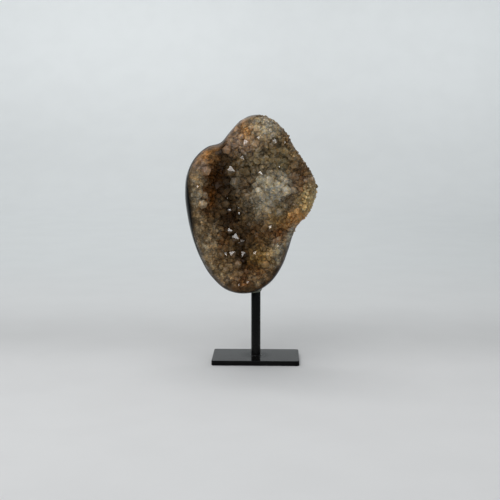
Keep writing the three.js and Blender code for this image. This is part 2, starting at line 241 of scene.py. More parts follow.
def mesh_object(name, points, faces, smooth=True):
    """A new object from points in millimetres; smooth is one value or one for each face."""
    mesh = bpy.data.meshes.new(name)
    faces = faces if isinstance(faces, list) else faces.tolist()
    mesh.from_pydata((np.asarray(points) * MM).tolist(), [], faces)
    mesh.polygons.foreach_set("use_smooth", np.array(np.broadcast_to(smooth, len(mesh.polygons))))
    mesh.update()
    made = bpy.data.objects.new(name, mesh)
    bpy.context.scene.collection.objects.link(made)
    return made


def set_own(mesh, **values):
    """Stores numbers, vectors of three or colours of four on the mesh's points or on its faces."""
    kinds = {1: ("FLOAT", "value"), 3: ("FLOAT_VECTOR", "vector"), 4: ("FLOAT_COLOR", "color")}
    for name, value in values.items():
        value = np.asarray(value, dtype=np.float32)
        kind, field = kinds[1 if value.ndim == 1 else value.shape[1]]
        domain = "POINT" if len(value) == len(mesh.vertices) else "FACE"
        mesh.attributes.new(name, kind, domain).data.foreach_set(field, value.ravel())


def loft(name, rows):
    """A closed solid through rows of the same number of points, capped flat at both ends."""
    count = len(rows[0])
    points = np.concatenate(rows)
    faces = [tuple(range(count))[::-1], tuple(range(len(points) - count, len(points)))]
    for r in range(len(rows) - 1):
        for i in range(count):
            j = (i + 1) % count
            faces.append((r * count + i, r * count + j, (r + 1) * count + j, (r + 1) * count + i))
    return mesh_object(name, points, faces, np.arange(len(faces)) > 1)


def fractal(points, size, octaves=4, shift=0.0):
    """Smooth noise from about -1 to 1 at points in millimetres, with features of that size."""
    step = Vector((shift, shift * 0.7, -shift))
    return np.array([noise.fractal(Vector(p) / size + step, 1.0, 2.0, octaves) for p in points])


def hand_over(piece, node, finish):
    piece.data.materials.clear()
    piece.data.materials.append(finish)
    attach(piece, "root")
    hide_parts(node)


# ---------------------------------------------------------------- node graphs


class Wire:
    """A node's output, on which Python's operators make Math nodes."""

    def __init__(self, graph, socket):
        self.graph = graph
        self.socket = socket

    def math(self, operation, *values):
        return self.graph.add("ShaderNodeMath", {"operation": operation}, *values)

    def __add__(self, other):
        return self.math("ADD", self, other)

    def __radd__(self, other):
        return self.math("ADD", other, self)

    def __sub__(self, other):
        return self.math("SUBTRACT", self, other)

    def __rsub__(self, other):
        return self.math("SUBTRACT", other, self)

    def __mul__(self, other):
        return self.math("MULTIPLY", self, other)

    def __rmul__(self, other):
        return self.math("MULTIPLY", other, self)

    def __pow__(self, other):
        return self.math("POWER", self, other)

    def __gt__(self, other):
        return self.math("GREATER_THAN", self, other)


class Graph:
    """A node tree and the one method that adds to it."""

    def __init__(self, tree):
        self.tree = tree

    def add(self, kind, settings=None, *values, output=0, **named):
        """A new node: its settings first, then its sockets by place or by name. Gives one output or all."""
        node = self.tree.nodes.new(kind)
        for key, value in (settings or {}).items():
            if key == "stops":
                self.set_stops(node.color_ramp, value)
            else:
                setattr(node, key, value)
        live = [s for s in node.inputs if s.enabled]
        for socket, value in zip(live, values):
            self.feed(socket, value)
        for name, value in named.items():
            wanted = name.replace("_", " ").lower()
            self.feed(next(s for s in live if s.name.lower() == wanted), value)
        outputs = [Wire(self, s) for s in node.outputs if s.enabled]
        if output == "all" or not outputs:
            return outputs
        return Wire(self, node.outputs[output]) if isinstance(output, str) else outputs[output]

    def feed(self, socket, value):
        if isinstance(value, Wire):
            self.tree.links.new(value.socket, socket)
        elif value is not None:
            socket.default_value = value

    @staticmethod
    def set_stops(ramp, stops):
        while len(ramp.elements) < len(stops):
            ramp.elements.new(0.5)
        for element, (position, colour) in zip(ramp.elements, stops):
            element.position = position
            element.color = (*colour, 1)

    def vector(self, operation, *values, **named):
        return self.add("ShaderNodeVectorMath", {"operation": operation}, *values, **named)


class Finish(Graph):
    """One material: a Principled shader whose constants are set on its own sockets."""

    def __init__(self, name, **constants):
        self.material = bpy.data.materials.new(name)
        self.material.use_nodes = True
        super().__init__(self.material.node_tree)
        self.shader = self.tree.nodes["Principled BSDF"]
        for key, value in constants.items():
            self.shader.inputs[key.replace("_", " ")].default_value = value
        coordinates = self.add("ShaderNodeTexCoord", output="Object")
        self.place = self.vector("SCALE", coordinates, Scale=1 / MM)
        self.x, self.y, self.z = self.add("ShaderNodeSeparateXYZ", None, self.place, output="all")

    def noise(self, size, detail=2.0, roughness=0.5, place=None):
        """Grey noise from 0 to 1 with features of that size in millimetres, here or at another place."""
        return self.add(
            "ShaderNodeTexNoise", None, Vector=place or self.place, Scale=1 / size, Detail=detail,
            Roughness=roughness,
        )

    def cells(self, size):
        """A grey level for each of many cells of that size."""
        colour = self.add("ShaderNodeTexVoronoi", None, Vector=self.place, Scale=1 / size, output="Color")
        return self.add("ShaderNodeSeparateColor", None, colour)

    def ramp(self, value, stops):
        return self.add("ShaderNodeValToRGB", {"stops": stops}, value)

    def band(self, value, low, high, to_low=0.0, to_high=1.0):
        """value eased from one level to another between two limits."""
        settings = {"interpolation_type": "SMOOTHSTEP"}
        return self.add("ShaderNodeMapRange", settings, value, low, high, to_low, to_high)

    def mix(self, factor, a, b, blend="MIX"):
        """Colour a turning into b."""
        settings = {"data_type": "RGBA", "blend_type": blend}
        colours = [c if isinstance(c, Wire) else (*c, 1) for c in (a, b)]
        return self.add("ShaderNodeMix", settings, factor, *colours)

    def shade(self, colour, amount):
        """colour made lighter or darker by a grey amount."""
        return self.vector("SCALE", colour, Scale=amount)

    def own(self, name, output="Fac"):
        """A value or colour stored on the mesh."""
        return self.add("ShaderNodeAttribute", {"attribute_name": name}, output=output)

    def bump(self, *heights):
        """Bump nodes in a row, each of a height in millimetres."""
        normal = None
        for height in heights:
            normal = self.add("ShaderNodeBump", None, Strength=1.0, Distance=MM, Height=height, Normal=normal)
        self.feed(self.shader.inputs["Normal"], normal)

    def surface(self, colour, roughness):
        self.feed(self.shader.inputs["Base Color"], colour)
        self.feed(self.shader.inputs["Roughness"], roughness)
        return self.material


# ---------------------------------------------------------------- camera, stage and light

CAMERA_PITCH = math.radians(7.98)
CAMERA_TURN = math.radians(1.5)
CAMERA_AWAY, CAMERA_LEFT, CAMERA_HEIGHT = 0.945, 0.0054, 0.2353
CAMERA_LENS, CAMERA_SENSOR = 75, 36

CAMERA_AHEAD = Vector((-math.sin(CAMERA_TURN), math.cos(CAMERA_TURN), 0))
CAMERA_RIGHT = Vector((math.cos(CAMERA_TURN), math.sin(CAMERA_TURN), 0))
CAMERA_PLACE = Vector((0, 0, CAMERA_HEIGHT)) - CAMERA_AWAY * CAMERA_AHEAD - CAMERA_LEFT * CAMERA_RIGHT

KEY_PLACE = Vector((-0.42, -0.62, 1.15))


def make_camera():
    data = bpy.data.cameras.new("camera")
    data.lens = CAMERA_LENS
    data.sensor_width = CAMERA_SENSOR
    camera = bpy.data.objects.new("camera", data)
    bpy.context.scene.collection.objects.link(camera)
    camera.location = CAMERA_PLACE
    camera.rotation_euler = (QUARTER - CAMERA_PITCH, 0, CAMERA_TURN)
    bpy.context.scene.camera = camera


# Painted light and shade on the paper, along the floor and on up the backdrop: from where, to where, and both
# tones.
PAPER_PAINTED_LIGHT = [
    (-300, 60, 0.95, 0.83), (150, 360, 1.0, 0.955), (300, 2200, 1.0, 1.2), (1650, 2320, 1.0, 1.16),
]
PAPER_COLOURS = [(0.0, (0.80, 0.80, 0.80)), (0.3, (0.775, 0.80, 0.805))]


def make_stage():
    """A pale floor that sweeps up into a backdrop behind the object, its tone graded by painted light and
    shade.
    """
    bend, wall_y, wall_top, front_y, half_width, steps = 700, 1900, 2600, -3000, 4000, 24
    profile = [(front_y, 0.0)]
    for i in range(steps + 1):
        turn = QUARTER * i / steps
        profile.append((wall_y - bend + bend * math.sin(turn), bend - bend * math.cos(turn)))
    profile.append((wall_y, wall_top))
    points = [(x, y, z) for y, z in profile for x in (-half_width, half_width)]
    faces = [(2 * i, 2 * i + 1, 2 * i + 3, 2 * i + 2) for i in range(len(profile) - 1)]
    sweep = mesh_object("sweep", points, faces)
    paper = Finish("pale paper", Specular_IOR_Level=0.2)
    run = paper.y + paper.z
    tone = paper.band(paper.noise(60, 3), 0.3, 0.7, 0.99, 1.01)
    # Painted light and shade: the paper darker on the floor near the object and lighter up the backdrop.
    for start, end, near, far in PAPER_PAINTED_LIGHT:
        tone = tone * paper.band(run, start, end, near, far)
    # Painted shadow: a soft darker band on the paper just behind the object.
    shadow = paper.band(run, -40, 105) * paper.band(run, 105, 320, 1.0, 0.0)
    # Painted light: the backdrop lighter towards its upper right, and the paper lighter on the left than on
    # the right.
    painted_light_upper_right = paper.band(run, 900, 1900) * paper.band(paper.x, 0, 610)
    across = paper.band(paper.x, -500, 500, 1.02, 0.965)
    tone = tone * across * (1 - shadow * 0.135) * (1 + painted_light_upper_right * 0.13)
    colour = paper.shade(paper.ramp(run * 0.0005, PAPER_COLOURS), tone)
    sweep.data.materials.append(paper.surface(colour, 0.9))


def soft_light(name, place, aim, size, watts):
    data = bpy.data.lights.new(name, "AREA")
    data.shape = "RECTANGLE"
    data.size, data.size_y = size
    data.energy = watts
    light = bpy.data.objects.new(name, data)
    bpy.context.scene.collection.objects.link(light)
    light.location = place
    light.rotation_euler = (Vector(aim) - Vector(place)).to_track_quat("-Z", "Y").to_euler()


# Each soft box: its name, its place and aim in metres, its size in metres, its watts.
SOFT_BOXES = [
    ("key box", KEY_PLACE, (0, 0, 0.15), (0.1, 0.1), 0.4),
    ("top box", (-0.15, 0.1, 1.45), (0, 0.1, 0.0), (1.3, 1.1), 10),
    ("front box", (-0.45, -1.1, 1.3), (0, 0, 0.12), (0.9, 0.7), 3.5),
    ("back box", (-0.5, 0.75, 1.75), (-0.2, 1.9, 0.95), (1.8, 0.5), 12.5),
]
ROOM_COLOUR, ROOM_STRENGTH = (0.93, 0.97, 1.0, 1), 0.33


def make_lights():
    for box in SOFT_BOXES:
        soft_light(*box)
    world = bpy.data.worlds.new("room")
    world.use_nodes = True
    background = world.node_tree.nodes["Background"]
    background.inputs["Color"].default_value = ROOM_COLOUR
    background.inputs["Strength"].default_value = ROOM_STRENGTH
    bpy.context.scene.world = world
    bpy.context.scene.view_settings.view_transform = "Standard"


make_camera()
make_stage()
make_lights()

# ---------------------------------------------------------------- finishes


def black_coat(name, black, gloss, roughness, grain):
    """Black coating on steel, with a slight orange peel and duller round the weld of the post."""
    coat = Finish(name, IOR=1.5, Specular_IOR_Level=gloss)
    cloud = coat.noise(9, 3)
    coat.bump(coat.noise(0.35, 3) * grain, coat.noise(4, 1) * grain)
    colour = coat.ramp(cloud, [(0.3, (black * 0.75,) * 3), (0.7, (black * 1.25,) * 3)])
    from_weld = coat.vector("LENGTH", coat.vector("MULTIPLY", coat.place, (1, 1, 0)), output="Value")
    dull_to, clean_from = 9, 22
    dulled = coat.band(from_weld + cloud * 6, dull_to, clean_from, 0.16, 0.0)
    return coat.surface(colour, coat.band(cloud, 0.3, 0.7, roughness * 0.85, roughness * 1.2) + dulled)


def glue_finish():
    glue = Finish("cured glue", IOR=1.5, Subsurface_Weight=0.15, Subsurface_Scale=0.001)
    glue.bump(glue.noise(0.8, 2) * 0.15)
    colour = glue.ramp(glue.noise(1.4, 3), [(0.3, (0.07, 0.07, 0.048)), (0.7, (0.20, 0.20, 0.14))])
    return glue.surface(colour, 0.35)


# The agate's dark layers near the crystals, near-black in part as painted shade, its paler layers near the
# skin, and the skin.
DARK_LAYERS_AND_SHADE = [(0.45, (0.003, 0.0025, 0.002)), (0.6, (0.007, 0.006, 0.005)), (0.7, (0.035, 0.028, 0.021))]
PALE_LAYERS = [
    (0.3, (0.012, 0.009, 0.006)), (0.46, (0.06, 0.046, 0.033)), (0.55, (0.02, 0.015, 0.01)),
    (0.7, (0.17, 0.145, 0.115)),
]
SKIN_TONES = [(0.3, (0.075, 0.06, 0.045)), (0.5, (0.19, 0.16, 0.125)), (0.7, (0.34, 0.30, 0.245))]
GREEN_TINGE, RUSTY_TINGE = (0.13, 0.14, 0.105), (0.21, 0.12, 0.065)
LAYER_SIZE = 1 / 1.1


def agate_finish():
    """Dark agate in uneven layers, polished, under a natural greyish brown skin; its near-black front layers
    are partly painted shade.
    """
    agate = Finish("agate wall", IOR=1.54, Specular_IOR_Level=0.08, Coat_IOR=1.5, Coat_Roughness=0.12)
    skin = agate.own("skin")
    depth = agate.own("depth") + agate.noise(16, 2) * 2.5
    through = agate.add("ShaderNodeCombineXYZ", None, depth, agate.y * 0.03, agate.z * 0.01)
    layered = agate.noise(LAYER_SIZE, 4, 0.65, through)
    dark, pale = agate.ramp(layered, DARK_LAYERS_AND_SHADE), agate.ramp(layered, PALE_LAYERS)
    # The front layers are near-black: dark agate, and painted shade over it.
    layers = agate.mix(agate.band(agate.y, -5, 5), dark, pale)

    rough = agate.ramp(agate.noise(2.6, 6, 0.65), SKIN_TONES)
    rough = agate.mix(agate.band(agate.noise(19, 3), 0.5, 0.75, 0.0, 0.55), rough, GREEN_TINGE)
    rough = agate.mix(agate.band(agate.noise(11, 5, 0.7), 0.52, 0.75, 0.0, 0.7), rough, RUSTY_TINGE)
    rough = agate.shade(rough, agate.band(agate.own("pit"), -1.2, 0.5, 0.5, 1.15))
    pores = agate.band(agate.noise(1.6, 4, 0.6), 0.25, 0.6)
    agate.bump(agate.noise(3, 4) * (skin * 0.9), pores * (skin * 0.3))
    agate.feed(agate.shader.inputs["Coat Weight"], agate.band(agate.y, -4, 4, 0.0, 0.5) * (1 - skin))
    return agate.surface(agate.mix(skin, layers, rough), agate.band(skin, 0.0, 1.0, 0.22, 0.85))


COOLER, WARMER = (0.92, 1.0, 1.14), (1.07, 0.99, 0.85)


def quartz_finish():
    """Smoky quartz, stained in patches: its points are glassy, its ground rim is mottled and satin; its
    brightness also holds painted shade between the crystals, painted sparkle and painted light on single
    faces.
    """
    quartz = Finish(
        "smoky quartz", IOR=1.544, Specular_IOR_Level=0.08, Coat_IOR=1.6, Coat_Roughness=0.1,
        Subsurface_Weight=0.5, Subsurface_Scale=0.0018, Subsurface_Radius=(1.0, 0.72, 0.45),
    )
    tint, rise, ground, facet = (quartz.own(name) for name in ("tint", "rise", "ground", "facet"))
    mottle = quartz.band(quartz.cells(4.2), 0.0, 1.0, 0.6, 1.4)
    mottle = mottle * quartz.band(quartz.cells(1.3), 0.0, 1.0, 0.75, 1.25)
    mottle = mottle * ground + (1 - ground)
    cloud = quartz.band(quartz.noise(1.3, 3, 0.6), 0.3, 0.7, 0.8, 1.2)
    blotch = quartz.band(quartz.noise(5.5, 3, 0.6), 0.3, 0.7, 0.66, 1.34)
    # Darker towards the roots of the crystals and on the bed between them: painted shade in the gaps, and
    # partly the roots' own deeper colour.
    light = quartz.band(tint, 0.0, 1.0, 0.76, 1.27) * quartz.band(rise, 0.0, 1.0, 0.88, 1.05)
    # Painted sparkle: tiny spots made up to almost twice as light, like glints on small faces.
    painted_sparkle = quartz.band(quartz.noise(0.7, 2), 0.6, 0.75, 1.0, 1.8)
    light = light * cloud * mottle * blotch * painted_sparkle * facet
    quartz.bump(quartz.noise(1.3, 3) * 0.08)
    quartz.feed(quartz.shader.inputs["Coat Weight"], quartz.own("glint"))
    roughness = quartz.band(tint, 0.0, 1.0, 0.14, 0.3) + ground * 0.14
    stain = quartz.own("stain", "Color")
    cooler = quartz.mix(1.0, stain, COOLER, "MULTIPLY")
    warmer = quartz.mix(1.0, stain, WARMER, "MULTIPLY")
    stain = quartz.mix(quartz.band(quartz.noise(2.6, 3), 0.38, 0.62), cooler, warmer)
    return quartz.surface(quartz.shade(stain, light), roughness)


QUARTZ = quartz_finish()
AGATE = agate_finish()
GLUE = glue_finish()
PLATE_BLACK = black_coat("glossy black coat", black=0.0065, gloss=0.06, roughness=0.12, grain=0.01)
BAR_BLACK = black_coat("semi-gloss black coat", black=0.001, gloss=0.2, roughness=0.12, grain=0.01)

# ---------------------------------------------------------------- the agate wall

AGATE_RINGS = 96
SEAT_LAP = math.radians(10)  # the agate goes on this far under the edge of the crust
SEAT_SUNK = 0.5  # and lies this far under the shoulder's surface there
AGATE_ROWS = [*np.linspace(1, 0.5, 19)[1:], *np.linspace(0.499, 0, 6)[:-1]]
# The skin ends between these two depths behind the widest section, along a line that wanders.
SKIN_FROM, SKIN_FULL, SKIN_WANDER = 5, 8, 7


def natural_back(share, angle):
    bend = (1 - share) * QUARTER
    across = np.cos(bend) ** BOXINESS
    x, z = stone_xz(angle, outline_radius(angle) * across)
    lumps = chequer(x, z, LUMP_LONG) + LUMP_FINE * chequer(z, x, LUMP_SHORT)
    y = BACK * np.sin(bend) ** BOXINESS + LUMP_HEIGHT * lumps * (1 - across**3)
    return np.stack([x, y, z], axis=1)


def polished_front(share, angle):
    """The shoulder from the outline in to the crust's seat, and under share a half the floor of the seat."""
    edge = crust_edge(angle)
    bend = (1 - share) * 2 * (edge + SEAT_LAP)
    points = shoulder(angle, bend, SEAT_SUNK * smoothstep(bend, edge - 0.03, edge + 0.12))
    x, z = stone_xz(angle, (crest_radius(angle) - 1) * share * 2)
    floor = np.stack([x, CRUST_THICK - bed_forward(x, z), z], axis=1)
    return np.where(share[:, None] >= 0.5, points, floor)


def make_agate():
    points, faces = shell(AGATE_RINGS, natural_back, AGATE_ROWS, polished_front)
    angle, reach = stone_polar(points[:, 0], points[:, 2])
    depth = outline_radius(angle) - reach - points[:, 1] * 0.6
    wander = fractal(points, 14, 4, 4.0)
    skin = smoothstep(points[:, 1] + SKIN_WANDER * wander, SKIN_FROM, SKIN_FULL)
    skin = np.maximum(skin, smoothstep(brokenness(angle) + 0.6 * wander, 0.35, 0.6))
    pit = fractal(points, 7, 5, 9.0) * 0.75 + np.minimum(fractal(points, 3.4, 3, 2.0), 0) * 1.5
    points = points + point_normals(points, faces) * (pit * skin)[:, None]
    made = mesh_object("agate_wall", points, faces)
    set_own(made.data, depth=depth, skin=skin, pit=pit)
    hand_over(made, "agate_body", AGATE)


# ---------------------------------------------------------------- stains of the quartz, and painted shade, shadow and sheen

RUST, ORANGE, GOLD = (0.24, 0.095, 0.032), (0.60, 0.32, 0.14), (0.38, 0.24, 0.10)
TAN, PINK, PALE = (0.46, 0.345, 0.22), (0.50, 0.365, 0.27), (0.54, 0.475, 0.36)
FROST = (0.68, 0.60, 0.47)
AMBER, OLIVE = (0.60, 0.45, 0.25), (0.20, 0.165, 0.09)
# The first of these is smoky quartz in the groove and, at the notch, painted shade.
SMOKE_AND_SHADE, BARK, LIVER = (0.026, 0.011, 0.004), (0.075, 0.036, 0.014), (0.13, 0.05, 0.013)
SLATE, PAINTED_SHEEN = (0.16, 0.155, 0.145), (0.30, 0.285, 0.24)
BLACK_AND_SHADE, UMBER = (0.010, 0.008, 0.006), (0.06, 0.034, 0.018)
PLAIN_QUARTZ = (0.125, 0.086, 0.046)
STAIN_WANDER, RICHNESS, RIM_FADE = 4.5, 1.15, 14

# Name, tone, centre x and z, half width and height, tilt in degrees, strength; later ones lie on top.
STAINS = [
    ("margin, upper left", TAN, -54, 170, 7, 18, 8, 0.9),
    ("margin, left", TAN, -51, 136, 6, 20, -8, 0.35),
    ("margin, left, pale", PALE, -51, 153, 5, 6, 0, 0.6),
    ("margin, lower left", TAN, -42, 112, 7, 18, -20, 0.8),
    ("flank, lower left", TAN, -34, 94, 9, 15, -24, 0.55),
    ("flank, lower left, gold", GOLD, -29, 90, 8, 9, 0, 0.3),
    ("inside the lower left flank", LIVER, -29, 113, 6, 13, -10, 0.6),
    ("lower part", BARK, -8, 86, 24, 14, 0, 0.75),
    ("tip, left", TAN, -27, 80, 12, 9, 35, 0.5),
    ("tip", RUST, -12, 77, 13, 8, 0, 0.4),
    ("over the tip", TAN, -19, 90, 6, 5, 0, 0.25),
    ("edge of the tip", BARK, -18, 69, 9, 4, 0, 0.5),
    ("tip, right", RUST, 3, 88, 8, 6, 0, 0.5),
    ("tip, right edge", TAN, 2, 79, 7, 5, 0, 0.45),
    ("flank, lower right", PALE, 20, 103, 9, 13, -20, 0.95),
    ("inside the lower right flank", GOLD, 5, 99, 11, 10, 10, 0.95),
    ("right of the groove's foot", LIVER, 4, 117, 13, 6, 0, 0.4),
    ("right of the groove", LIVER, 2, 125, 11, 6, 0, 0.35),
    # Painted shadow: these two darker stains under the right lobe stand for the shade the lobe casts; the
    # second is also a rust spot.
    ("under the right lobe", BARK, 26, 123, 8, 6, 30, 0.85),
    ("spot under the right lobe", RUST, 20, 118, 7, 5, 10, 0.8),
    ("middle right", TAN, 11, 134, 14, 8, 10, 0.5),
    ("middle right, gold", GOLD, 20, 131, 8, 6, 0, 0.6),
    ("middle right, olive", OLIVE, 23, 140, 8, 8, 0, 0.4),
    ("right lobe, low", ORANGE, 37, 136, 12, 7, 40, 0.8),
    ("right lobe, middle", AMBER, 43, 144, 9, 7, 30, 0.8),
    ("right lobe", AMBER, 47, 155, 9, 12, 0, 0.85),
    ("right lobe, inside", LIVER, 37, 162, 6, 6, 0, 0.75),
    ("right edge, middle", PINK, 46, 168, 7, 4, -20, 0.6),
    ("right of the heart, low", BARK, 31, 150, 6, 8, 0, 0.8),
    ("right edge", RUST, 36, 176, 7, 9, 25, 0.75),
    ("right edge, dark", BARK, 36, 180, 8, 8, 0, 0.95),
    ("inside the right edge", OLIVE, 28, 180, 7, 7, 0, 0.75),
    ("upper right edge", TAN, 33, 194, 8, 13, 35, 0.55),
    ("upper right edge, high", RUST, 27, 204, 5, 8, 35, 0.2),
    ("upper right", OLIVE, 16, 192, 14, 10, 0, 0.5),
    ("upper right, pale", TAN, 17, 193, 8, 6, 0, 0.3),
    ("upper middle", OLIVE, -4, 182, 12, 11, 0, 0.2),
    ("over the heart", TAN, 12, 178, 9, 6, 0, 0.25),
    ("under the crown", PINK, -6, 201, 11, 8, 0, 0.55),
    ("under the crown, low", PALE, -4, 189, 12, 7, 0, 0.2),
    # The crown's pale stains here are partly painted light on the top of the stone.
    ("crown", TAN, 3, 213, 16, 10, 0, 0.95),
    ("crown, far left", PINK, -17, 211, 13, 8, 40, 0.85),
    ("crown, left", ORANGE, -11, 211, 6.5, 8, 10, 1.0),
    ("left of the crown", PINK, -21, 203, 9, 9, 45, 0.75),
    ("crown, right", FROST, 12, 215, 10, 7, -20, 0.9),
    ("heart", PALE, 13, 164, 17, 12, 5, 0.95),
    ("heart, low", FROST, 11, 152, 15, 8, 0, 0.6),
    ("heart, right", FROST, 27, 163, 6, 7, 0, 0.5),
    ("left of the heart", PALE, -18, 168, 6, 7, 0, 0.4),
    ("under the heart", PALE, 2, 141, 9, 8, 0, 0.45),
    ("slope of the upper left lobe", BARK, -40, 173, 9, 13, 0, 0.95),
    ("upper left lobe", ORANGE, -44, 190, 14, 7, 20, 0.9),
    ("upper left lobe, low", PINK, -50, 182, 7, 7, 20, 0.8),
    ("left bank of the groove", LIVER, -41, 153, 6, 20, 0, 0.95),
    ("between the groove and the heart", BARK, -9, 165, 7, 10, 0, 0.6),
    # Painted shadow: the notch and its top are made near-black, as the crease between the lobes is in shade.
    ("notch", SMOKE_AND_SHADE, -31, 195, 6.5, 8.5, 10, 0.83),
    ("top of the notch", SMOKE_AND_SHADE, -30, 199, 3.2, 6, -15, 0.95),
    ("top of the groove", SMOKE_AND_SHADE, -30, 176, 7.5, 14, 12, 0.98),
    ("groove", SMOKE_AND_SHADE, -29, 161, 9, 10, 0, 0.93),
    ("groove, left of the middle", TAN, -31, 150, 4, 3.5, 0, 0.1),
    ("groove, middle", SMOKE_AND_SHADE, -22, 147, 7, 10, 0, 0.55),
    ("groove, low", SMOKE_AND_SHADE, -25, 134, 13.5, 12, 0, 0.95),
    ("foot of the groove", SMOKE_AND_SHADE, -13, 115, 8, 14, 20, 0.75),
    ("tail of the groove", SMOKE_AND_SHADE, -9, 97, 7.5, 11, 20, 1.0),
    ("across the tail", BARK, -21, 99, 10, 5, 0, 0.6),
]

# Along the rim, some of it painted shade and painted sheen: tone, first and last direction in degrees,
# distance inside the outline, half width, strength.
RIM_TONES = [
    (SLATE, 205, 262, 3.6, 2.4, 0.75),
    (SLATE, 282, 316, 3.0, 2.5, 0.4),
    # Painted sheen: a pale grey band along the lower right edge, standing in for a reflection on the polished
    # rim.
    (PAINTED_SHEEN, 300, 342, 3.3, 2.2, 0.9),
    (UMBER, 236, 304, 2.0, 3.4, 0.8),
    (BLACK_AND_SHADE, 196, 330, 0.4, 1.8, 0.95),
    (BLACK_AND_SHADE, 148, 216, 4.6, 2.2, 0.85),
    (UMBER, 92, 170, 1.3, 2.7, 0.7),
    (UMBER, 270, 320, 4.0, 5.0, 0.7),
    # Painted shade: the rim under the tip, near the post, is made near-black as it is in shade.
    (BLACK_AND_SHADE, 250, 308, 1.4, 2.0, 0.85),
    (UMBER, 40, 112, 0.6, 1.4, 0.5),
]


def stain_colours(points):
    """The colour of the quartz at each point, with its stains and some painted shade, shadow and sheen."""
    x = points[:, 0] + STAIN_WANDER * fractal(points, 9, 3, 3.0)
    z = points[:, 2] + STAIN_WANDER * fractal(points, 9, 3, 7.0)
    cloud = fractal(points, 7, 4, 12.0)[:, None]
    colour = np.array(PLAIN_QUARTZ) * (1 + 0.5 * cloud)
    for _, tone, cx, cz, half_x, half_z, tilt, strength in STAINS:
        c, s = math.cos(math.radians(tilt)), math.sin(math.radians(tilt))
        across = ((x - cx) * c + (z - cz) * s) / half_x
        up = ((z - cz) * c - (x - cx) * s) / half_z
        weight = np.exp(-(across**2) - up**2) * strength
        colour = lerp(colour, np.array(tone), weight[:, None])
    angle, reach = stone_polar(points[:, 0], points[:, 2])
    inset, degrees = outline_radius(angle) - reach, np.degrees(angle) % 360
    for tone, start, end, middle, half, strength in RIM_TONES:
        weight = np.exp(-(((inset - middle) / half) ** 2)) * strength
        weight *= smoothstep(degrees, start, start + RIM_FADE) * smoothstep(degrees, end, end - RIM_FADE)
        colour = lerp(colour, np.array(tone), weight[:, None])
    grey = colour.mean(axis=1, keepdims=True)
    return np.column_stack([np.maximum(lerp(grey, colour, RICHNESS), 0), np.ones(len(points))])


# ---------------------------------------------------------------- the quartz bed and its ground rim

BED_RINGS, CREST_SHARE = 76, 62 / 76
BED_BACK_ROWS = [0.985, 0.95, 0.85, 0.7, 0.5, 0.25]

# Crystals with one face turned to the key light: x and z of that face, radius, spin in degrees, brightness.
BRIGHT_CRYSTALS = [
    (-22, 178, 5.2, 65, 0.36), (-9, 202, 3.9, -30, 0.36), (4.5, 174.5, 3.1, 55, 0.5),
    (17, 203, 3.4, 40, 0.34), (3, 206, 2.9, 160, 0.34), (-12, 188, 2.9, 45, 0.26),
    (21, 180.5, 1.9, 0, 0.6), (25.7, 201.8, 1.5, 0, 0.6), (-26, 153, 2.8, 15, 0.5),
    (-23.5, 141, 2.4, 70, 0.45), (-15, 143, 1.8, 60, 0.5), (-15, 138, 1.8, 0, 0.5),
    (-23.5, 122.5, 3.2, 80, 0.45), (-18, 117, 4.9, 55, 0.42), (-13.5, 113, 4.2, 110, 0.14),
    (-27, 101, 2.4, 45, 0.45), (-21.5, 102, 4.0, 140, 0.4), (-11.5, 101.5, 3.9, -10, 0.3),
    (-0.5, 102.5, 2.5, 170, 0.36), (13, 126, 2.6, 0, 0.55), (-15, 73.5, 1.8, 0, 0.26),
    (-7, 76, 2.3, 0, 0.24), (14, 168, 1.4, 30, 0.4), (-52, 162.5, 1.8, 0, 0.4), (20, 109, 1.6, 0, 0.4),
]
# Large cloudy crystals: x and z, radius, spin in degrees.
CLOUDY_CRYSTALS = [
    (27, 160.5, 4.6, 20), (11.5, 169, 4.8, -30), (-19, 168, 5.0, 10), (5.5, 180.5, 3.2, 40),
    (-45, 178, 4.8, 0), (-25.5, 196.5, 4.2, 60), (-48, 148, 4.4, 15), (19, 166.5, 3.8, 80),
    (2, 160, 3.6, 0), (-8, 155, 3.6, 120), (-27, 88, 3.2, 10), (-16, 93, 4.0, 60), (14, 200, 3.4, 30),
    (9, 189, 3.2, 90),
]


def bed_front(share, angle):
    """Across the hollow, over the crest, down the shoulder."""
    x, z = stone_xz(angle, crest_radius(angle) * np.minimum(share / CREST_SHARE, 1))
    hollow = np.stack([x, -bed_forward(x, z), z], axis=1)
    down = np.clip((share - CREST_SHARE) / (1 - CREST_SHARE), 0, 1)
    over = shoulder(angle, lerp(QUARTER, crust_edge(angle), down), CRUST_TUCK * smoothstep(down, 0.82, 1))
    return np.where(share[:, None] > CREST_SHARE, over, hollow)


def bed_back(share, angle):
    """The back of the crust, flat against the agate and closed out to the crust's edge."""
    edge = shoulder(angle, crust_edge(angle), CRUST_TUCK)
    x, z = lerp(STONE_X, edge[:, 0], share), lerp(STONE_Z, edge[:, 2], share)
    deep = CRUST_THICK * 0.95 - bed_forward(x, z)
    return np.stack([x, lerp(deep, edge[:, 1] + 1.0, share**12), z], axis=1)


def ground_at(points):
    """1 where the polished rim is ground smooth, 0 among the crystals."""
    inset, broken = inset_from_crest(points)
    return (1 - smoothstep(inset, 3, GROUND_WIDTH)) * (1 - broken)


def growth_at(points):
    """Share of their full height that the crystals have: little at the polished rim and near placed ones."""
    inset, broken = inset_from_crest(points)
    growth = np.maximum(smoothstep(inset, 0, GROUND_WIDTH), broken)
    ragged = lerp(0.3, 1, smoothstep(fractal(points, 6, 2, 5.0), -0.3, 0.5))
    growth = growth * lerp(ragged, 1, smoothstep(inset, -3, 2))
    for x, z, radius, *_ in BRIGHT_CRYSTALS + CLOUDY_CRYSTALS:
        away = ((points[:, 0] - x) ** 2 + (points[:, 2] - z) ** 2) / radius**2
        growth = growth * (1 - 0.95 * np.exp(-away))
    return growth


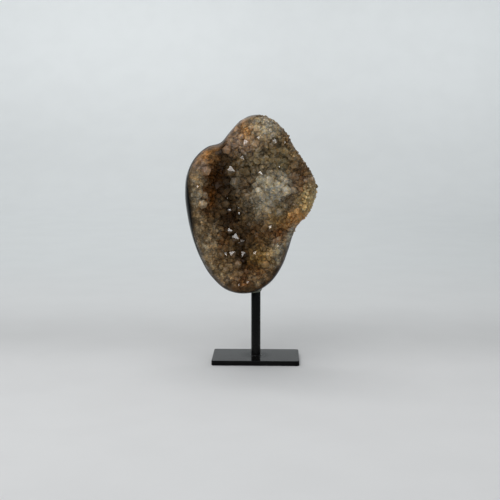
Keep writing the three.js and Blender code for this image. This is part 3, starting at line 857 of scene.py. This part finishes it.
def lean_at(points):
    """Crystals lean outwards where the edge is broken."""
    inset, broken = inset_from_crest(points)
    angle, _ = stone_polar(points[:, 0], points[:, 2])
    lean = 1.1 * broken * (1 - smoothstep(inset, -1, 5))
    return np.stack([lean * np.cos(angle), lean * 0, lean * np.sin(angle)], axis=1)


# Where the crystals are larger, in the heart, the groove, its foot and the crown: x and z, reach, how much.
LARGE_GROWTH = [(14, 160, 22, 0.55), (-24, 165, 14, 0.45), (-18, 112, 15, 0.4), (8, 200, 22, 0.35)]
SIZE_ON_FLANKS = 0.85


def size_at(points):
    """Relative size of the crystals. They are small on the flanks and along the broken edge."""
    inset, broken = inset_from_crest(points)
    size = np.full(len(points), SIZE_ON_FLANKS)
    for x, z, spread, more in LARGE_GROWTH:
        away = (points[:, 0] - x) ** 2 + (points[:, 2] - z) ** 2
        size += more * np.exp(-away / spread**2)
    return size * (1 - 0.45 * broken * (1 - smoothstep(inset, -1, 9)))


# ---------------------------------------------------------------- crystals

SIDES = 6
# Height of the shaft and of the point above it, the tip's skew, and how uneven the six faces are.
CRYSTAL_FORMS = [
    (0.5, 1.05, 0.0, 0.0), (0.35, 1.15, 0.18, 0.12), (0.65, 0.9, -0.2, 0.1), (0.4, 1.0, 0.3, 0.2),
]
# Layers of crystals: spacing, radius, tilt, seed.
CRYSTAL_LAYERS = [(2.1, 1.75, 0.75, 3), (4.6, 2.5, 0.8, 11), (11.0, 3.2, 0.7, 29)]
ROOT_TAPER = 0.85
# Of the placed crystals: the tint of the bright ones, the glint and tint of the cloudy ones, and how far the
# roots are sunk, per unit of radius.
BRIGHT_TINT, CLOUDY_GLINT, CLOUDY_TINT, ROOT_SUNK = 0.5, 0.03, 0.85, 0.15
GLINT_ABOVE, GLINT = 0.92, 0.5  # a grown crystal with more tint than the first has the second as its glint
# How far a crystal may pass the outline, and the share that it keeps of what goes further.
HELD_MARGIN, HELD_SHARE = 1.0, 0.5


def crystal(shaft, point, skew, uneven):
    """A six-sided quartz point, one unit in radius, standing on the XY plane with its root at z = -1."""
    turn = TURN / SIDES * np.arange(SIDES)
    ring = np.stack([np.cos(turn), np.sin(turn)], axis=1)
    low = np.column_stack([ring * ROOT_TAPER, np.full(SIDES, -1.0)])
    high = np.column_stack([ring, shaft + uneven * np.where(np.arange(SIDES) % 2, 1, -1)])
    points = np.concatenate([low, high, [[skew, skew * 0.5, shaft + point]]])
    faces = [(0, i + 1, i) for i in range(1, SIDES - 1)]
    for i in range(SIDES):
        j = (i + 1) % SIDES
        faces += [(i, j, SIDES + j), (i, SIDES + j, SIDES + i), (SIDES + i, SIDES + j, 2 * SIDES)]
    # The third value, rise, runs from 0 at the root to 1 at the tip; the finish darkens the roots with it as
    # painted shade between crystals.
    return points, faces, np.repeat([0.0, 0.6, 1.0], [SIDES, SIDES, 1])


def crystal_shapes():
    shapes = bpy.data.collections.new("quartz shapes")
    for i, form in enumerate(CRYSTAL_FORMS):
        points, faces, rise = crystal(*form)
        mesh = bpy.data.meshes.new(f"quartz shape {i}")
        mesh.from_pydata(points.tolist(), [], faces)
        set_own(mesh, rise=rise)
        shapes.objects.link(bpy.data.objects.new(mesh.name, mesh))
    return shapes


def druse_tree(shapes):
    """Geometry Nodes: quartz points scattered over a bed."""
    tree = bpy.data.node_groups.new("druse", "GeometryNodeTree")
    face = tree.interface
    face.new_socket("Geometry", in_out="INPUT", socket_type="NodeSocketGeometry")
    for name, kind in (("Spacing", "Float"), ("Radius", "Float"), ("Tilt", "Float"), ("Seed", "Int")):
        face.new_socket(name, in_out="INPUT", socket_type=f"NodeSocket{kind}")
    face.new_socket("Finish", in_out="INPUT", socket_type="NodeSocketMaterial")
    face.new_socket("Geometry", in_out="OUTPUT", socket_type="NodeSocketGeometry")
    g = Graph(tree)
    bed, spacing, radius, tilt, seed, finish = g.add("NodeGroupInput", output="all")[:6]

    def own(name, kind="FLOAT"):
        return g.add("GeometryNodeInputNamedAttribute", {"data_type": kind}, name)

    def chance(low, high, salt, kind="FLOAT"):
        return g.add("FunctionNodeRandomValue", {"data_type": kind}, low, high, Seed=seed + salt)

    growth = own("growth")
    points, normal, _ = g.add(
        "GeometryNodeDistributePointsOnFaces", {"distribute_method": "POISSON"}, Mesh=bed,
        Distance_Min=spacing, Density_Max=3.0e6, Density_Factor=growth > 0.1, Seed=seed, output="all",
    )
    sway = chance((-1, -1, -1), (1, 1, 1), 1, "FLOAT_VECTOR")
    axis = g.vector("ADD", normal, g.vector("SCALE", sway, Scale=tilt * growth))
    axis = g.vector("ADD", axis, own("lean", "FLOAT_VECTOR"))
    upright = g.add("FunctionNodeAlignRotationToVector", {"axis": "Z"}, Vector=axis)
    spin = g.add("FunctionNodeAxisAngleToRotation", None, (0, 0, 1), chance(0.0, TURN, 2))
    pose = g.add("FunctionNodeRotateRotation", {"rotation_space": "LOCAL"}, upright, spin)

    spread = chance(0.0, 1.0, 3) ** 2.2
    wide = radius * own("size") * (spread + 0.62)
    tall = wide * chance(0.6, 1.5, 4) * growth
    size = g.add("ShaderNodeCombineXYZ", None, wide, wide * chance(0.6, 1.25, 5), tall)
    settings = {"transform_space": "ORIGINAL"}
    source = g.add("GeometryNodeCollectionInfo", settings, Collection=shapes, Separate_Children=True)
    stood = g.add(
        "GeometryNodeInstanceOnPoints", None, Points=points, Instance=source, Pick_Instance=True,
        Instance_Index=chance(0, len(CRYSTAL_FORMS) - 1, 6, "INT"), Rotation=pose, Scale=size,
    )
    settings = {"data_type": "FLOAT", "domain": "INSTANCE"}
    tinted = g.add(
        "GeometryNodeStoreNamedAttribute", settings, Geometry=stood, Name="tint", Value=chance(0.0, 1.0, 7)
    )
    real = g.add("GeometryNodeRealizeInstances", None, tinted)
    g.add("NodeGroupOutput", None, g.add("GeometryNodeSetMaterial", None, Geometry=real, Material=finish))
    return tree


def read(items, field, width=1, kind=np.float32):
    values = np.empty(len(items) * width, kind)
    items.foreach_get(field, values)
    return values.reshape(-1, width) if width > 1 else values


def grown(bed, tree, **inputs):
    """The crystals that the tree grows on the bed: points, triangles and the values stored on them."""
    modifier = bed.modifiers.new("druse", "NODES")
    modifier.node_group = tree
    keys = {i.name: i.identifier for i in tree.interface.items_tree if i.in_out == "INPUT"}
    for key, value in inputs.items():
        modifier[keys[key]] = value
    ready = bed.evaluated_get(bpy.context.evaluated_depsgraph_get())
    mesh = bpy.data.meshes.new_from_object(ready)
    bed.modifiers.remove(modifier)
    mesh.calc_loop_triangles()
    points = held_in(ground_down(read(mesh.vertices, "co", 3).astype(float) / MM))
    tint = read(mesh.attributes["tint"].data, "value")
    return {
        "points": points,
        "faces": read(mesh.loop_triangles, "vertices", 3, np.int32),
        "tint": tint,
        "glint": np.where(tint > GLINT_ABOVE, GLINT, 0.0),
        "rise": read(mesh.attributes["rise"].data, "value"),
        "stain": read(mesh.attributes["stain"].data, "color", 4),
        "ground": ground_at(points),
    }


def ground_down(points):
    """Crystals near the polished rim are cut off level, just proud of the bed."""
    inset, broken = inset_from_crest(points)
    room = lerp(0.3, 12, np.maximum(smoothstep(inset, 2.5, GROUND_WIDTH + 4), broken))
    limit = bed_forward(points[:, 0], points[:, 2]) + room
    return np.column_stack([points[:, 0], np.maximum(points[:, 1], -limit), points[:, 2]])


def held_in(points):
    """Crystals that stand out past the outline of the stone are kept short."""
    angle, reach = stone_polar(points[:, 0], points[:, 2])
    limit = outline_radius(angle) + HELD_MARGIN
    x, z = stone_xz(angle, np.minimum(reach, limit + (reach - limit) * HELD_SHARE))
    return np.column_stack([x, points[:, 1], z])


def frame_of(first, towards):
    """Three axes as columns: the first, one square to it towards a direction, and their cross product."""
    second = towards - first * first.dot(towards)
    second /= np.linalg.norm(second)
    return np.stack([first, second, np.cross(first, second)], axis=1)


def placed_crystal(x, z, radius, spin, glint, tint):
    """A crystal with a face at the half-angle between the key light and the view, where the list puts it."""
    unit, faces, rise = crystal(*CRYSTAL_FORMS[0])
    local = unit * radius
    corners = local[[SIDES, SIDES + 1, 2 * SIDES]]
    face_normal = np.cross(corners[1] - corners[0], corners[2] - corners[0])
    face_normal /= np.linalg.norm(face_normal)
    place = np.array([x, -bed_forward(x, z) - radius * 0.75 - 1.6, z])
    from_light = (Vector(place * MM) - KEY_PLACE).normalized()
    from_camera = (Vector(place * MM) - CAMERA_PLACE).normalized()
    half = -np.array((from_light + from_camera).normalized())
    turn = math.radians(spin)
    turned = frame_of(half, np.array([math.sin(turn), -0.6, -math.cos(turn)]))
    turned = turned @ frame_of(face_normal, np.array([0, 0, 1.0])).T
    root = place - turned @ corners.mean(axis=0)
    root[1] = -bed_forward(root[0], root[2]) - radius * ROOT_SUNK
    points = local @ turned.T + root
    return {
        "points": points,
        "faces": np.array(faces),
        "tint": np.full(len(points), tint),
        "glint": np.full(len(points), glint),
        "rise": rise,
        "stain": stain_colours(np.tile(place, (len(points), 1))),
        "ground": np.zeros(len(points)),
    }


def make_crust():
    points, faces = shell(BED_RINGS, bed_front, BED_BACK_ROWS, bed_back)
    front = 1 + 3 * BED_RINGS * (BED_RINGS + 1)
    stain, ground = stain_colours(points), ground_at(points)

    nursery = mesh_object("nursery", points[:front], faces[(faces < front).all(axis=1)])
    sown = points[:front]
    set_own(
        nursery.data, growth=growth_at(sown), lean=lean_at(sown), size=size_at(sown), stain=stain[:front],
    )
    tree = druse_tree(crystal_shapes())
    layers = [
        grown(nursery, tree, Spacing=spacing * MM, Radius=radius * MM, Tilt=tilt, Seed=seed, Finish=QUARTZ)
        for spacing, radius, tilt, seed in CRYSTAL_LAYERS
    ]
    bpy.data.objects.remove(nursery)

    uneven = fractal(points, 7, 3, 1.0) * lerp(0.9, 0.25, ground)
    uneven[front:] = 0
    bed = {
        "points": points + point_normals(points, faces) * uneven[:, None],
        "faces": faces,
        "tint": np.full(len(points), 0.35),
        "glint": np.zeros(len(points)),
        # The bed is darker among the crystals, as painted shade in the gaps between them, and paler on the
        # ground rim.
        "rise": lerp(0.15, 0.75, ground),
        "stain": stain,
        "ground": ground,
    }
    pieces = [bed, *layers, *(placed_crystal(*one, BRIGHT_TINT) for one in BRIGHT_CRYSTALS)]
    pieces += [placed_crystal(*one, CLOUDY_GLINT, CLOUDY_TINT) for one in CLOUDY_CRYSTALS]
    starts = np.cumsum([0] + [len(p["points"]) for p in pieces])
    sparkle = np.random.default_rng(5)
    all_faces = np.concatenate([p["faces"] + start for p, start in zip(pieces, starts)])
    smooth = np.arange(len(all_faces)) < len(faces)
    all_points = np.concatenate([p["points"] for p in pieces])
    crust = mesh_object("quartz_crust", all_points, all_faces, smooth)
    kept = ("tint", "glint", "rise", "stain", "ground")
    own = {key: np.concatenate([p[key] for p in pieces]) for key in kept}
    # Painted light: each crystal face is made lighter or darker at random, as if it caught the light
    # differently; the bed's faces are left as they are.
    own["facet"] = np.where(smooth, 1.0, sparkle.uniform(0.78, 1.22, len(all_faces)))
    set_own(crust.data, **own)
    hand_over(crust, "crystal_crust", QUARTZ)


# ---------------------------------------------------------------- the stand

ROUND_STEPS, CORNER_STEPS, BEVEL_STEPS, WELD_STEPS = 72, 9, 5, 8
ROUND_TURN = TURN / ROUND_STEPS * np.arange(ROUND_STEPS)


def ring_of(radius, height):
    """A ring of points about the post's axis; radius and height may vary with the direction."""
    heights = height + 0 * ROUND_TURN
    return np.stack([radius * np.cos(ROUND_TURN), radius * np.sin(ROUND_TURN), heights], axis=1)


def make_foot():
    """A flat steel plate with round corners and eased edges."""

    def outline(inset, height):
        points = []
        for quarter in range(4):
            middle = QUARTER * (quarter + 0.5)
            corner_x = math.copysign(FOOT_WIDTH / 2 - FOOT_CORNER, math.cos(middle))
            corner_y = math.copysign(FOOT_DEPTH / 2 - FOOT_CORNER, math.sin(middle))
            for turn in np.linspace(0, QUARTER, CORNER_STEPS) + quarter * QUARTER:
                arc = FOOT_CORNER - inset
                points.append((corner_x + arc * math.cos(turn), corner_y + arc * math.sin(turn), height))
        return np.array(points)

    bends = np.linspace(0, QUARTER, BEVEL_STEPS)
    eased = [(FOOT_BEVEL * (1 - math.sin(b)), FOOT_BEVEL * (1 - math.cos(b))) for b in bends]
    rows = [outline(inset, height) for inset, height in eased]
    rows += [outline(inset, FOOT_THICK - height) for inset, height in reversed(eased)]
    hand_over(loft("foot", rows), "foot_plate", PLATE_BLACK)


def make_post():
    """A round bar with a welded foot and a chamfered top, which is inside the stone."""
    wave = 0.05 * np.sin(13 * ROUND_TURN) + 0.08 * np.sin(3 * ROUND_TURN + 1)
    rows = []
    for bend in np.linspace(0, QUARTER, WELD_STEPS):
        reach = 1 - math.sin(bend)
        height = POST_WELD * (1 - math.cos(bend))
        rows.append(ring_of(POST_RADIUS + (POST_WELD + wave) * reach, FOOT_THICK + height))
    rows += [ring_of(POST_RADIUS, POST_TOP - POST_CHAMFER), ring_of(POST_RADIUS - POST_CHAMFER, POST_TOP)]
    hand_over(loft("bar", rows), "post", BAR_BLACK)


# Share of the glue's height and of its reach.
GLUE_PROFILE = [(0.0, 0.05), (0.0, 0.25), (0.2, 0.6), (0.5, 1.0), (0.8, 1.45), (1.0, 1.8), (1.0, 0.05)]


def make_glue():
    """A fillet of glue between the bar and the underside of the stone, largest on the right."""
    squeezed = 0.12 + 0.88 * (0.5 + 0.5 * np.cos(ROUND_TURN + 0.35)) ** 2
    squeezed += 0.06 * np.sin(5 * ROUND_TURN + 2.1)
    bottom = GLUE_BOTTOM + GLUE_SLANT * np.cos(ROUND_TURN)
    rows = []
    for up, reach in GLUE_PROFILE:
        rows.append(ring_of(POST_RADIUS + GLUE_REACH * reach * squeezed, bottom + GLUE_HEIGHT * up))
    hand_over(loft("glue", rows), "glue_bead", GLUE)


make_agate()
make_crust()
make_foot()
make_post()
make_glue()
